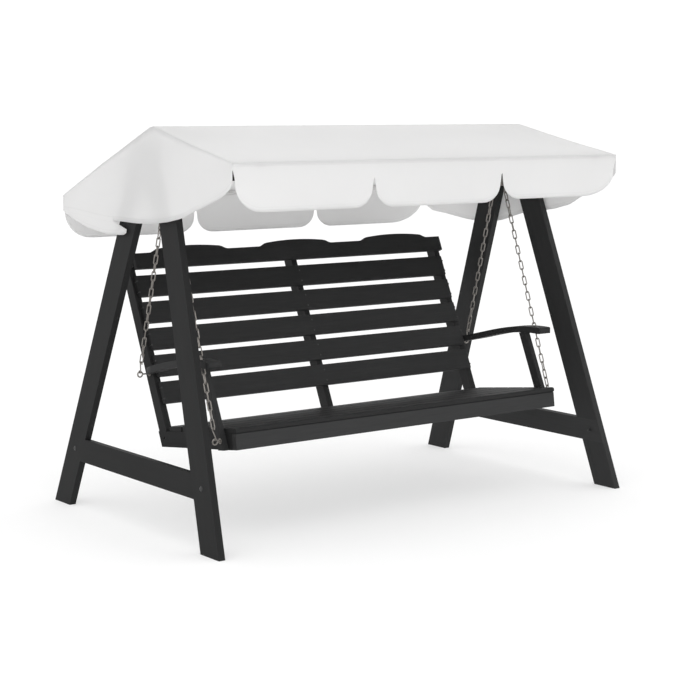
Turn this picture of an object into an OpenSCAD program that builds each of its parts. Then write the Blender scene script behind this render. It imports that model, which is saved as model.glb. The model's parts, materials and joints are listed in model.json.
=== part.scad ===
// Garden glider swing: a slatted bench on four chains under a tilting canopy, between two
// A-frames. The origin is on the floor, midway between the feet. X is the width, the front is
// -Y and Z is up. The bench hangs from one horizontal pin at each end of the beam.

/* [Frame] */
// Distance between the outer faces of the two pairs of feet
frame_w = 2080; // [1700:10:2400]
// Distance from the front of a front foot to the back of a rear foot
frame_d = 1275; // [1100:5:1450]
// Height of the crotch, where the inner edges of two legs meet
crotch_z = 1449; // [1300:1:1700]
// Front-to-back position of the crotch, the beam and the bench's pins
crotch_y = -26; // [-60:1:60]
// Inward lean of each A-frame in degrees
frame_lean = 3.96; // [1:0.02:6]
// Width of a leg board
leg_w = 120; // [95:1:140]
// Thickness of a leg board and of a head block
leg_t = 28; // [24:1:36]
// Height of the stretcher's underside above the floor
stretcher_z = 196; // [120:1:400]
// Height of a stretcher board
stretcher_h = 95; // [70:1:120]
// Height of the top beam
beam_h = 95; // [70:1:100]
// Thickness of the top beam
beam_t = 45; // [36:1:60]

/* [Bench] */
// Gap between the bench's side and the foot below it, measured along the width
bench_gap = 210; // [200:1:260]
// Height of the seat's front edge
seat_z = 441; // [380:1:520]
// Depth of the seat from its front edge to the face of the back, along the seat
seat_d = 498; // [420:1:560]
// Backward slope of the seat in degrees
seat_slope = 7.43; // [3:0.01:12]
// Lean of the back in degrees
back_lean = 23.84; // [15:0.01:30]
// Distance between two neighbouring slats of the back, edge to edge plus one slat
back_pitch = 113.9; // [105:0.1:125]
// Width of a slat
slat_w = 91; // [70:1:98]
// Thickness of a slat
slat_t = 21; // [18:1:26]
// Height of the armrest above the seat's front edge
arm_rise = 248; // [200:1:300]
// Width of the armrest
arm_w = 66; // [56:1:80]

/* [Chains] */
// Diameter of the chain's and the hooks' wire
wire_d = 5; // [4:0.5:6]
// Inside length of a chain link before the chain is fitted to its span
link_pitch = 35; // [30:1:42]
// Outside width of a chain link
link_w = 19; // [17:0.5:22]

/* [Canopy] */
// Distance from a foot's outer face in to the canopy's end, along the width
canopy_inset = 66; // [50:1:72]
// Distance from the crotch forward to the canopy's front edge
canopy_front = 616; // [500:1:700]
// Distance from the crotch back to the canopy's rear edge
canopy_rear = 667; // [550:1:750]
// Height of the ridge above the crotch
ridge_rise = 129; // [125:1:160]
// Drop from the ridge to the canopy's front edge
front_drop = 129; // [90:1:170]
// Drop from the ridge to the canopy's rear edge
rear_drop = 295; // [200:1:330]
// Depth of the valance that hangs from the canopy's edges
valance = 180; // [120:1:220]
// Thickness of the canopy's cover, as a solid
cover_t = 3; // [2:0.5:6]
// Diameter of the canopy's tubes
tube_d = 20; // [16:1:25]

/* [Hidden] */
$fn = 48;

timber = [0.19, 0.19, 0.20];
zinc = [0.62, 0.60, 0.56];
black_steel = [0.12, 0.12, 0.12];
cloth = [0.92, 0.92, 0.91];

// A-frame, measured in its own leaning plane: y across and s up the plane.
half_w = frame_w / 2;
crotch_s = crotch_z / cos(frame_lean);
leg_top_s = crotch_s + 58;
big = 6000;

// Lean of a leg whose foot reaches half the depth and whose inner edge meets the crotch.
function leg_lean(reach) = acos(leg_w / norm([reach, crotch_s])) - atan2(crotch_s, reach);
front_lean = leg_lean(frame_d / 2 + crotch_y);
rear_lean = leg_lean(frame_d / 2 - crotch_y);
stretcher_s = stretcher_z / cos(frame_lean);

// Bolts, nuts and washers
bolt_r = 4;
hole_r = 4.2;
washer_r = 9;
washer_t = 1.6;
nut_r = 7.5;
nut_h = 6.5;
head_r = 10;
head_h = 5;
// Small gaps: cut is how far a cutting solid reaches past a face, gap parts two moving pieces
cut = 1;
gap = 0.4;

// Beam, hanger and pivot heights
beam_z = crotch_z - 92;
pin_z = beam_z - 20;
pin_r = 5;
running = 0.05;
pivot_z = crotch_z + 31;
head_in = 2 * leg_t;
function outer_face_x(z) = half_w - z * tan(frame_lean);
function inner_face_x(z) = outer_face_x(z) - head_in / cos(frame_lean);
beam_half = inner_face_x(beam_z + beam_h) - gap;
hang_x = beam_half - 20;
ear_t = 3;
ear_gap = 14;

// Bench
bench_half = half_w - bench_gap;
board_t = 28;
rail_h = 63;
stile_d = 53;
seat_y = crotch_y - 410;
seat_slats = 5;
back_slats = 5;
seat_back_gap = 9;
seat_pitch = (seat_d - seat_back_gap - slat_w) / (seat_slats - 1);
slat_half = bench_half - 13;
eye_x = bench_half + 44;
function seat_point(u, v) = [
  seat_y + u * cos(seat_slope) + v * sin(seat_slope),
  seat_z - u * sin(seat_slope) + v * cos(seat_slope)
];
back_foot = seat_point(seat_d, 0);
// A point of the back: s up from the seat's corner, n forward from the slats' face.
function back_point(s, n) = [
  back_foot[0] + s * sin(back_lean) - n * cos(back_lean),
  back_foot[1] + s * cos(back_lean) + n * sin(back_lean)
];
first_slat_s = 96;
crest_s = first_slat_s + back_slats * back_pitch;
crest_h = slat_w - 24;
stile_top = crest_s + crest_h - 14;

// Chains
delta_w = 29;
delta_h = 24;
delta_r = 12;
delta_t = 5;
delta_hole_r = 6;
// Radius from a corner's centre to the middle of the steel that a hook grips
grip_r = (delta_r + delta_hole_r) / 2;
hook_r = 4.1 + wire_d / 2;
top_hook_c = 30;
low_hook_c = 36;
eye_wire_r = 3;
eye_ring_r = 11;
play = 0.1;
low_r = eye_wire_r + play + wire_d / 2;
post_u = 58;
post_d = 44;
post_t = 21;
front_eye = seat_point(post_u + 25, -slat_t - rail_h / 2 + 5);
rear_eye = back_point(238, -slat_t - stile_d / 2);

// Armrest: a cubic curve for its top edge
arm_front = seat_y + 91;
arm_fall = 88;
arm_top = seat_z + arm_rise;
arm_rear = back_foot[0] + (arm_top - arm_fall - back_foot[1]) * tan(back_lean) + 28;
arm_len = arm_rear - arm_front;
arm_t = 27;
arm_p = [
  [arm_front, arm_top], [arm_front + 0.35 * arm_len, arm_top + 8],
  [arm_front + 0.65 * arm_len, arm_top - 49], [arm_rear, arm_top - arm_fall]
];
function arm_curve(t) =
  pow(1 - t, 3) * arm_p[0] + 3 * t * pow(1 - t, 2) * arm_p[1]
  + 3 * t * t * (1 - t) * arm_p[2] + pow(t, 3) * arm_p[3];

// Canopy
canopy_half = half_w - canopy_inset;
ridge_y = crotch_y - 22;
ridge_z = crotch_z + ridge_rise;
front_y = crotch_y - canopy_front;
rear_y = crotch_y + canopy_rear;
front_z = ridge_z - front_drop;
rear_z = ridge_z - rear_drop;
tube_half = canopy_half - 30;
arm_x = hang_x - 12;
plate_x = hang_x + 6;
plate_t = 4;
tube_wall = 1.5;
slide = 0.1;
tube_r = tube_d / 2;
// Tube centres, set in so that the pivot plates' eyes and the sleeves just clear the cover
front_slope = atan2(front_drop, ridge_y - front_y);
rear_slope = atan2(rear_drop, rear_y - ridge_y);
eye_r = tube_r + 3.5;
skin = cover_t + eye_r + 0.5;
ridge_tube_z = ridge_z - skin / cos(rear_slope);
front_tube_p = [front_y + skin, front_z - skin / cos(front_slope) + skin * tan(front_slope)];
rear_tube_p = [rear_y - skin, rear_z - skin / cos(rear_slope) + skin * tan(rear_slope)];

// Places its children on the right side for 1 and mirrors them to the left for -1.
module on_side(side) {
  mirror([side > 0 ? 0 : 1, 0, 0]) children();
}

// Turns an outline drawn as y and z into a board that lies from x0 to x1.
module board(x0, x1) {
  translate([x0, 0, 0])
    rotate([90, 0, 90])
      linear_extrude(x1 - x0)
        children();
}

// A cylinder along X from x0 to x1.
module along_x(x0, x1, y, z, r) {
  translate([x0, y, z])
    rotate([0, 90, 0])
      cylinder(h = x1 - x0, r = r);
}

// Stands its children, drawn from the foot's outer edge inwards, in the leaning plane.
module lean_in(side) {
  on_side(side)
    translate([half_w, 0, 0])
      rotate([0, -frame_lean, 0])
        children();
}

// ---- Frame ----

// Y of a leg's edge at height s: row 0 is the front leg, row 1 the rear one.
function outer_y(row, s) = row == 0
  ? -frame_d / 2 + s * tan(front_lean)
  : frame_d / 2 - s * tan(rear_lean);
function inner_y(row, s) = row == 0
  ? outer_y(0, s) + leg_w / cos(front_lean)
  : outer_y(1, s) - leg_w / cos(rear_lean);
function middle_y(row, s) = (outer_y(row, s) + inner_y(row, s)) / 2;
lap_s = stretcher_s + stretcher_h / 2;

module leg_outline(row) {
  polygon([
    [outer_y(row, -20), -20], [inner_y(row, -20), -20], [crotch_y, crotch_s],
    [crotch_y, leg_top_s], [outer_y(row, leg_top_s), leg_top_s]
  ]);
}

// Places where a bolt crosses a leg: the stretcher's lap and the head block.
head_bolt_s = crotch_s - 40;
function leg_bolts(row) = [
  [middle_y(row, lap_s), lap_s],
  [middle_y(row, head_bolt_s) + (row == 0 ? 12 : -12), head_bolt_s]
];

module leg(side, row) {
  color(timber)
    difference() {
      lean_in(side)
        difference() {
          board(-leg_t, 0)
            leg_outline(row);
          translate([-leg_t - cut, -big / 2, stretcher_s])
            cube([leg_t / 2 + cut, big, stretcher_h]);
          for (p = leg_bolts(row))
            along_x(-leg_t - cut, cut, p[0], p[1], hole_r);
        }
      pivot_hole(side);
      translate([-big / 2, -big / 2, -big])
        cube([big, big, big]);
    }
}

// The level hole for the canopy's pivot bolt, through the legs and the head block.
module pivot_hole(side) {
  on_side(side)
    translate([0, crotch_y, pivot_z])
      rotate([45, 0, 0])
        along_x(beam_half - head_in, half_w, 0, 0, hole_r);
}

module stretcher(side) {
  s0 = stretcher_s;
  s1 = stretcher_s + stretcher_h;
  color(timber)
    lean_in(side)
      difference() {
        union() {
          board(-leg_t, 0)
            polygon([
              [inner_y(0, s0), s0], [inner_y(1, s0), s0],
              [inner_y(1, s1), s1], [inner_y(0, s1), s1]
            ]);
          board(-leg_t, -leg_t / 2)
            polygon([
              [outer_y(0, s0), s0], [outer_y(1, s0), s0],
              [outer_y(1, s1), s1], [outer_y(0, s1), s1]
            ]);
        }
        for (row = [0, 1])
          along_x(-leg_t - cut, cut, middle_y(row, lap_s), lap_s, hole_r);
      }
}

// The block inside the crotch that ties two legs together and carries the beam's end.
module head_block(side) {
  s0 = crotch_s - 137;
  s1 = leg_top_s - 6;
  inset = 14;
  color(timber)
    difference() {
      lean_in(side)
        difference() {
          board(-head_in, -leg_t)
            polygon([
              [outer_y(0, s0) + inset, s0], [outer_y(1, s0) - inset, s0],
              [outer_y(1, s1) - inset, s1], [outer_y(0, s1) + inset, s1]
            ]);
          for (row = [0, 1])
            along_x(-head_in - cut, cut, leg_bolts(row)[1][0], head_bolt_s, hole_r);
        }
      pivot_hole(side);
    }
}

module top_beam() {
  color(timber)
    translate([-beam_half, crotch_y - beam_t / 2, beam_z])
      cube([2 * beam_half, beam_t, beam_h]);
}

// Steel angles on both sides of each beam end: one flange on the beam, one on the block.
module beam_brackets() {
  plate = 3;
  z0 = beam_z + 12;
  z1 = beam_z + beam_h - 13;
  beam_flange = 55;
  block_flange = 24;
  color(black_steel)
    for (side = [-1, 1], face = [0, 1])
      on_side(side)
        translate([0, crotch_y + (face == 0 ? -beam_t / 2 : beam_t / 2 + plate), 0])
          rotate([90, 0, 0]) {
            linear_extrude(plate)
              polygon([
                [beam_half - beam_flange, z0], [inner_face_x(z0), z0],
                [inner_face_x(z1), z1], [beam_half - beam_flange, z1]
              ]);
            translate([0, 0, face == 0 ? 0 : plate - block_flange])
              linear_extrude(block_flange)
                polygon([
                  [inner_face_x(z0) - plate, z0], [inner_face_x(z0), z0],
                  [inner_face_x(z1), z1], [inner_face_x(z1) - plate, z1]
                ]);
          }
}

// A bolt along X from its domed head at x = 0 inwards, with a washer and a nut inside.
module bolt(y, s, grip) {
  tail = 4;
  translate([0, y, s])
    rotate([0, 90, 0]) {
      bolt_head();
      translate([0, 0, -grip - washer_t - nut_h - tail])
        cylinder(h = grip + washer_t + nut_h + tail + cut, r = bolt_r);
      translate([0, 0, -grip - washer_t])
        cylinder(h = washer_t, r = washer_r);
      translate([0, 0, -grip - washer_t - nut_h])
        cylinder(h = nut_h, r = nut_r, $fn = 6);
    }
}

// A low dome on the plane z = 0.
module bolt_head() {
  dome_r = (head_r * head_r + head_h * head_h) / (2 * head_h);
  intersection() {
    translate([0, 0, head_h - dome_r])
      sphere(r = dome_r);
    cylinder(h = head_h, r = head_r + cut);
  }
}

module frame_bolts() {
  color(black_steel)
    for (side = [-1, 1], row = [0, 1])
      lean_in(side) {
        bolt(leg_bolts(row)[0][0], lap_s, leg_t);
        bolt(leg_bolts(row)[1][0], head_bolt_s, head_in);
      }
}

// The bolts that the canopy tilts on. They stand level, so the canopy turns about X.
module pivot_bolts() {
  head_x = outer_face_x(pivot_z) + 1;
  spacer_r = 7;
  color(zinc)
    for (side = [-1, 1])
      on_side(side) {
        along_x(plate_x - 24, head_x + cut, crotch_y, pivot_z, bolt_r);
        along_x(plate_x + plate_t + gap, inner_face_x(pivot_z) - cut, crotch_y, pivot_z, spacer_r);
        translate([head_x, crotch_y, pivot_z])
          rotate([0, 90, 0])
            bolt_head();
      }
}

// U-shaped bracket under the beam's end, with the pin that the bench swings on.
module hanger(side) {
  base_t = 4;
  base_w = 36;
  ear_w = 28;
  color(black_steel)
    on_side(side) {
      translate([hang_x - base_w / 2, crotch_y - beam_t / 2 + 1, beam_z - base_t])
        cube([base_w, beam_t - 2, base_t]);
      for (x = [hang_x - ear_gap, hang_x + ear_gap - ear_t])
        board(x, x + ear_t) {
          translate([crotch_y, pin_z])
            circle(r = ear_w / 2);
          translate([crotch_y - ear_w / 2, pin_z])
            square([ear_w, beam_z - base_t / 2 - pin_z]);
        }
      along_x(hang_x - ear_gap - 3, hang_x + ear_gap + 3, crotch_y, pin_z, pin_r);
    }
}

// ---- Canopy ----

module tube(x0, x1, y, z) {
  difference() {
    along_x(x0, x1, y, z, tube_r);
    along_x(x0 - cut, x1 + cut, y, z, tube_r - tube_wall);
  }
}

module long_tube(p) {
  color(cloth)
    tube(-tube_half, tube_half, p[0], p[1]);
}

ridge_p = [ridge_y, ridge_tube_z];
eaves = [front_tube_p, rear_tube_p];

// Draws its children along the line from the ridge tube to an edge tube, in the arms' plane:
// the child's Z axis runs from the ridge outwards.
module along_arm(row) {
  p = eaves[row];
  d = p - ridge_p;
  translate([arm_x, ridge_p[0], ridge_p[1]])
    rotate([-atan2(d[0], d[1]), 0, 0])
      children();
}
function arm_length(row) = norm(eaves[row] - ridge_p);
sleeve_r = tube_r + 2;
arm_end = sleeve_r + 3;
arm_r = tube_r - 1;

module roof_arm(side, row) {
  length = arm_length(row) - 2 * arm_end;
  color(cloth)
    on_side(side)
      along_arm(row)
        translate([0, 0, arm_end])
          difference() {
            cylinder(h = length, r = arm_r);
            translate([0, 0, -cut])
              cylinder(h = length + 2 * cut, r = arm_r - tube_wall);
          }
}

// Sleeves on the long tubes, with plugs that fill the ends of the arms.
module roof_connectors() {
  plug = 36;
  plug_r = arm_r - tube_wall - slide;
  sleeve_half = 17;
  color(black_steel)
    for (side = [-1, 1])
      on_side(side) {
        difference() {
          union() {
            along_x(arm_x - sleeve_half, arm_x + sleeve_half, ridge_p[0], ridge_p[1], sleeve_r);
            for (row = [0, 1])
              along_arm(row)
                cylinder(h = plug, r = plug_r);
          }
          along_x(arm_x - plug, arm_x + plug, ridge_p[0], ridge_p[1], tube_r + slide);
        }
        for (row = [0, 1])
          difference() {
            union() {
              along_x(arm_x - sleeve_half, arm_x + sleeve_half, eaves[row][0], eaves[row][1], sleeve_r);
              along_arm(row)
                translate([0, 0, arm_length(row) - plug])
                  cylinder(h = plug, r = plug_r);
            }
            along_x(arm_x - plug, arm_x + plug, eaves[row][0], eaves[row][1], tube_r + slide);
          }
      }
}

module tube_caps() {
  color(black_steel)
    for (side = [-1, 1], p = [ridge_p, front_tube_p, rear_tube_p])
      on_side(side) {
        along_x(tube_half, tube_half + 3, p[0], p[1], tube_r);
        along_x(tube_half - 12, tube_half + cut, p[0], p[1], tube_r - tube_wall - slide);
      }
}

// Steel links from the ridge tube down to the pivot bolts.
module pivot_plates() {
  color(black_steel)
    for (side = [-1, 1])
      on_side(side)
        difference() {
          board(plate_x, plate_x + plate_t) {
            for (p = [ridge_p, [crotch_y, pivot_z]])
              translate(p)
                circle(r = eye_r);
            polygon([
              [ridge_p[0] - eye_r, ridge_p[1]], [ridge_p[0] + eye_r, ridge_p[1]],
              [crotch_y + eye_r, pivot_z], [crotch_y - eye_r, pivot_z]
            ]);
          }
          along_x(plate_x - cut, plate_x + plate_t + cut, ridge_p[0], ridge_p[1], tube_r + slide);
          along_x(plate_x - cut, plate_x + plate_t + cut, crotch_y, pivot_z, bolt_r + running);
        }
}

// Star knobs that clamp the plates. They turn on the pivot bolts.
module tilt_knob(side) {
  lobes = 5;
  knob_r = 17;
  lobe_r = 6;
  knob_h = 14;
  hub_r = 8;
  x0 = plate_x - 3 - knob_h;
  color(black_steel)
    on_side(side)
      difference() {
        union() {
          board(x0, x0 + knob_h)
            translate([crotch_y, pivot_z]) {
              circle(r = knob_r - 2);
              for (k = [0 : lobes - 1])
                rotate(k * 360 / lobes)
                  translate([knob_r - lobe_r, 0])
                    circle(r = lobe_r);
            }
          along_x(x0 + knob_h - cut, plate_x - gap, crotch_y, pivot_z, hub_r);
        }
        along_x(x0 - cut, plate_x, crotch_y, pivot_z, bolt_r + running);
      }
}

// A panel of the valance from x0 to x1, with a round lower corner at each side.
module panel_outline(x0, x1, h, r0, r1) {
  translate([x0 + r0, 0])
    square([x1 - x0 - r0 - r1, h]);
  translate([x0, r0])
    square([x1 - x0, h - r0]);
  translate([x0, r1])
    square([x1 - x0, h - r1]);
  translate([x0 + r0, r0])
    circle(r = r0);
  translate([x1 - r1, r1])
    circle(r = r1);
}

slit = 10;
inner_r = 45;
outer_r = 75;
slit_top = 12;

// The sheet's section, from skin to lining, without its ends.
module roof_section() {
  t = cover_t;
  polygon([
    [front_y, front_z - slit_top], [front_y, front_z], [ridge_y, ridge_z], [rear_y, rear_z],
    [rear_y, rear_z - slit_top], [rear_y - t, rear_z - slit_top], [rear_y - t, rear_z - t],
    [ridge_y, ridge_z - 1.1 * t], [front_y + t, front_z - t], [front_y + t, front_z - slit_top]
  ]);
}

// Hem of a gable's valance from front to rear: the share of the canopy's depth, and how far the
// hem hangs below the eaves as a share of the valance. It turns back where a slit opens.
gable_hem = [
  [0, 0.54], [0.17, 0.8], [0.275, 0.955], [0.4, 0.98], [0.5, 0.92], [0.675, 0.76],
  [0.59, 1.03], [0.6, 1.09], [0.62, 1.11], [0.71, 1.045], [0.92, 0.61], [1, 0.32]
];

module gable_outline() {
  polygon(concat(
    [[rear_y, rear_z], [ridge_y, ridge_z], [front_y, front_z]],
    [for (h = gable_hem) [
      front_y + h[0] * (rear_y - front_y), front_z - h[0] * (front_z - rear_z) - h[1] * valance
    ]]
  ));
}

module canopy_cover() {
  panel_w = (2 * canopy_half - 2 * slit) / 3;
  drop = valance - slit_top;
  color(cloth)
    union() {
      board(-canopy_half, canopy_half)
        roof_section();
      for (edge = [[front_y + cover_t, front_z], [rear_y, rear_z]])
        translate([0, edge[0], edge[1] - valance])
          rotate([90, 0, 0])
            linear_extrude(cover_t) {
              panel_outline(-canopy_half, -canopy_half + panel_w, drop, outer_r, inner_r);
              panel_outline(-panel_w / 2, panel_w / 2, drop, inner_r, inner_r);
              panel_outline(canopy_half - panel_w, canopy_half, drop, inner_r, outer_r);
            }
      for (side = [-1, 1])
        on_side(side)
          board(canopy_half - cover_t, canopy_half)
            gable_outline();
    }
}

// ---- Bench ----

side_x = bench_half - board_t;
// The three frames of the bench, each from its inner x to its outer x.
frames_x = [-bench_half, -board_t / 2, side_x];

module seat_frame_board(u0, u1) {
  a = seat_point(u0, -slat_t);
  b = seat_point(u1, -slat_t);
  c = seat_point(u1 - rail_h * tan(back_lean - seat_slope), -slat_t - rail_h);
  d = seat_point(u0, -slat_t - rail_h);
  polygon([a, b, c, d]);
}

module stile_outline() {
  polygon([
    back_point(stile_top, -slat_t), back_point(stile_top - 14, -slat_t - stile_d),
    back_point(-200, -slat_t - stile_d), back_point(-200, -slat_t)
  ]);
}

// Everything above the rails' underside.
module above_rails() {
  polygon([
    seat_point(-900, -slat_t - rail_h), seat_point(1200, -slat_t - rail_h),
    seat_point(1200, 1500), seat_point(-900, 1500)
  ]);
}

rail_end = seat_d + 78;
rail_start = 33;
joint_bolt = back_point(-36, -slat_t - stile_d / 2);

// The half of frame k's thickness that its rail keeps where it crosses the stile.
module rail_half(k) {
  x0 = frames_x[k];
  translate([k == 2 ? x0 - cut : x0 + board_t / 2, -big / 2, 0])
    cube([board_t / 2 + cut, big, big]);
}

module frame_holes(k) {
  x0 = frames_x[k];
  points = k == 1 ? [joint_bolt] : [joint_bolt, front_eye, rear_eye];
  for (p = points)
    along_x(x0 - cut, x0 + board_t + cut, p[0], p[1], hole_r);
}

// k is 0 for the left, 1 for the middle and 2 for the right.
module rail(k) {
  x0 = frames_x[k];
  color(timber)
    difference() {
      board(x0, x0 + board_t)
        seat_frame_board(rail_start, rail_end);
      difference() {
        board(x0 - cut, x0 + board_t + cut)
          stile_outline();
        rail_half(k);
      }
      frame_holes(k);
    }
}

module stile(k) {
  x0 = frames_x[k];
  color(timber)
    difference() {
      board(x0, x0 + board_t)
        intersection() {
          stile_outline();
          above_rails();
        }
      intersection() {
        board(x0 - cut, x0 + board_t + cut)
          seat_frame_board(rail_start, rail_end);
        rail_half(k);
      }
      frame_holes(k);
    }
}

// The rail across the front of the seat.
module front_rail() {
  u0 = 5;
  color(timber)
    board(-bench_half, bench_half)
      polygon([
        seat_point(u0, -slat_t), seat_point(rail_start, -slat_t),
        seat_point(rail_start, -slat_t - rail_h), seat_point(u0, -slat_t - rail_h)
      ]);
}

// A slat of the seat. The first one has a round nose.
module seat_slat(k) {
  u = (k - 1) * seat_pitch;
  nose = slat_t / 2;
  front = k == 1 ? nose : 0;
  color(timber)
    board(-bench_half, bench_half)
      translate(seat_point(u, 0))
        rotate(-seat_slope) {
          translate([front, -slat_t])
            square([slat_w - front, slat_t]);
          if (k == 1)
            translate([nose, -nose])
              circle(r = nose);
        }
}

// A slat of the back: k is 1 for the lowest.
module back_slat(k) {
  s = first_slat_s + (k - 1) * back_pitch;
  color(timber)
    board(-slat_half, slat_half)
      polygon([
        back_point(s, 0), back_point(s + slat_w, 0),
        back_point(s + slat_w, -slat_t), back_point(s, -slat_t)
      ]);
}

// Height of the crest's top edge above its ends: three humps with an ogee step at each side.
hump_w = slat_half * 0.235;
hump_x = slat_half * 0.67;
step_w = 40;
step_h = 15;
arch_h = 9;
function hump(d) =
  abs(d) > hump_w ? 0
  : abs(d) > hump_w - step_w ? step_h * (1 + cos(180 * (abs(d) - hump_w + step_w) / step_w)) / 2
  : step_h + arch_h * (1 - pow(d / (hump_w - step_w), 2));
function crest_rise(x) = max([for (c = [-hump_x, 0, hump_x]) hump(x - c)]);

// The shaped rail on top of the back.
module crest_rail() {
  steps = 120;
  p = back_point(crest_s, 0);
  color(timber)
    translate([0, p[0], p[1]])
      rotate([90 - back_lean, 0, 0])
        linear_extrude(slat_t)
            polygon(concat(
              [[slat_half, 0], [-slat_half, 0]],
              [for (i = [0 : steps])
                let (x = -slat_half + 2 * slat_half * i / steps)
                [x, crest_h + crest_rise(x)]]
            ));
}

// Points of an arc about c, for an outline's round corner.
function arc(c, r, a0, a1) = [for (i = [0 : 8]) c + r * [cos(a0 + (a1 - a0) * i / 8), sin(a0 + (a1 - a0) * i / 8)]];

// Side view of an armrest: the curve, its underside and a round nose.
module arm_side() {
  steps = 24;
  nose = arm_t / 2;
  polygon(concat(
    arc(arm_p[0] + [nose, -nose], nose, 270, 90),
    [for (i = [1 : steps]) arm_curve(i / steps) + [nose * (1 - i / steps), 0]],
    [for (i = [steps : -1 : 1]) arm_curve(i / steps) + [nose * (1 - i / steps), -arm_t]]
  ));
}

// Top view of an armrest, from the bench's side outwards: it narrows towards the back.
module arm_plan() {
  corner = 14;
  taper = 110;
  waist = 28;
  rear_w = 20;
  translate([bench_half, arm_front])
    polygon(concat(
      [[0, 0]],
      arc([arm_w - corner, corner], corner, 270, 360),
      [[arm_w, arm_len - taper], [waist, arm_len - 12], [rear_w, arm_len + cut], [0, arm_len + cut]]
    ));
}

// A slanted hole lets the front chain through.
module armrest(side) {
  clearance = 3;
  color(timber)
    on_side(side)
      difference() {
        intersection() {
          board(bench_half, bench_half + arm_w)
            arm_side();
          linear_extrude(big)
            arm_plan();
        }
        chain_line(0)
          translate([0, 0, -run_len[0]])
            cylinder(h = run_len[0], r = link_w / 2 + clearance);
      }
}

// Posts stand outside the rails, parallel to the back, and end under the armrests.
module arm_post(side) {
  steps = 24;
  run = 420;
  under = -slat_t - rail_h;
  foot = seat_point(post_u, under);
  heel = seat_point(post_u + post_d / cos(back_lean - seat_slope), under);
  up = run * [sin(back_lean), cos(back_lean)];
  color(timber)
    on_side(side)
      difference() {
        board(bench_half, bench_half + post_t)
          intersection() {
            polygon([foot, heel, heel + up, foot + up]);
            polygon(concat(
              [for (i = [0 : steps]) arm_curve(i / steps) + [0, -arm_t]],
              [[arm_rear, 0], [2 * arm_front, 0], [2 * arm_front, arm_top - arm_t]]
            ));
          }
        along_x(bench_half - cut, bench_half + post_t + cut, front_eye[0], front_eye[1], hole_r);
      }
}

// Screws through the slats into the frames. Their heads lie flush with the slats' face.
module screw_at(x, p, tilt) {
  length = 38;
  screw_head = 3.5;
  translate([x, p[0], p[1]])
    rotate([tilt, 0, 0]) {
      translate([0, 0, -2])
        cylinder(h = 2.3, r = screw_head);
      translate([0, 0, -length])
        cylinder(h = length, r = 2);
    }
}

module bench_screws() {
  near = 20;
  far = slat_w - 24;
  color(black_steel)
    for (k = [0 : 2]) {
      x = frames_x[k] + board_t / 2;
      for (i = [0 : back_slats], d = [near, i < back_slats ? far : crest_h - near])
        screw_at(x, back_point(first_slat_s + i * back_pitch + d, 0), 90 - back_lean);
      for (i = [0 : seat_slats - 1], d = [near, far])
        screw_at(x, seat_point(i * seat_pitch + d, 0), -seat_slope);
    }
}

// ---- Chains ----

// Ends of a chain run: row 0 is the front one, row 1 the rear one.
function eye_point(row) = row == 0
  ? [eye_x, front_eye[0], front_eye[1] + eye_ring_r]
  : [eye_x, rear_eye[0], rear_eye[1] + eye_ring_r];
function corner_point(row) = [hang_x, crotch_y + (row == 0 ? -delta_w : delta_w), pin_z - delta_h];
function run_dir(row) = (eye_point(row) - corner_point(row)) / norm(eye_point(row) - corner_point(row));
function run_top(row) = corner_point(row) + grip_r * run_dir(row);
run_len = [for (row = [0, 1]) norm(eye_point(row) - run_top(row))];

// Draws its children on a run: the origin is the delta plate's edge and -Z points to the eye.
module chain_line(row) {
  d = -run_dir(row);
  translate(run_top(row))
    rotate([-asin(d[1]), atan2(d[0], d[2]), 0])
      children();
}

// An open hook of round wire: one arc over the origin and one under a point c below it.
module s_hook(c, upper_r, lower_r) {
  phi = asin((upper_r + lower_r) / c);
  sweep = 200 + phi;
  wire = wire_d / 2;
  bead = 0.1;
  a = upper_r * [cos(phi), -sin(phi)];
  b = [0, -c] - lower_r * [cos(phi), -sin(phi)];
  rotate([90, 0, 0]) {
    rotate([0, 0, -phi])
      rotate_extrude(angle = sweep)
        translate([upper_r, 0])
          circle(r = wire);
    translate([0, -c, 0])
      rotate([0, 0, 180 - phi])
        rotate_extrude(angle = sweep)
          translate([lower_r, 0])
            circle(r = wire);
  }
  for (p = [a, b])
    translate([p[0], 0, p[1]])
      sphere(r = wire + bead);
  translate([a[0], 0, a[1]])
    rotate([0, atan2(b[0] - a[0], b[1] - a[1]), 0])
      translate([0, 0, 2 * bead])
        cylinder(h = norm(b - a) - 4 * bead, r = wire);
}

// One link, centred on the origin, in the XZ plane. Its straight sides run a little into its bends.
module link(inside) {
  wire = wire_d / 2;
  r = link_w / 2 - wire;
  straight = inside + wire_d - 2 * r;
  lap = 0.4;
  slack = 0.02;
  for (x = [-r, r])
    translate([x, 0, -straight / 2 - lap])
      cylinder(h = straight + 2 * lap, r = wire - slack);
  for (end = [0, 1])
    translate([0, 0, end == 0 ? straight / 2 : -straight / 2])
      rotate([90, end == 0 ? 0 : 180, 0])
        rotate_extrude(angle = 180)
          translate([r, 0])
            circle(r = wire);
}

// Distances along a run, from the delta plate's edge down
first_crown = top_hook_c + hook_r - wire_d - play;
function links_len(row) = run_len[row] - first_crown - hook_r - low_hook_c;
function link_count(row) = round(links_len(row) / link_pitch);
function fitted_pitch(row) = links_len(row) / link_count(row);

// How far link i of n is turned: a chain twists near its ends to meet the hooks squarely.
chain_twist = 40;
twist_links = 5;
function link_turn(i, n) =
  let (last = n % 2 == 1 ? 90 : 0, left = n - 1 - i)
  i <= twist_links ? chain_twist * i / twist_links
  : left <= twist_links ? last + (chain_twist - last) * left / twist_links
  : chain_twist;

module chain(side, row) {
  pitch = fitted_pitch(row);
  n = link_count(row);
  color(zinc)
    on_side(side)
      chain_line(row)
        for (i = [0 : n - 1])
          translate([0, 0, -first_crown - (pitch + wire_d + play) / 2 - i * pitch])
            rotate([0, 0, (i % 2 == 0 ? 90 : 0) - link_turn(i, n)])
              link(pitch + play);
}

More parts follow.
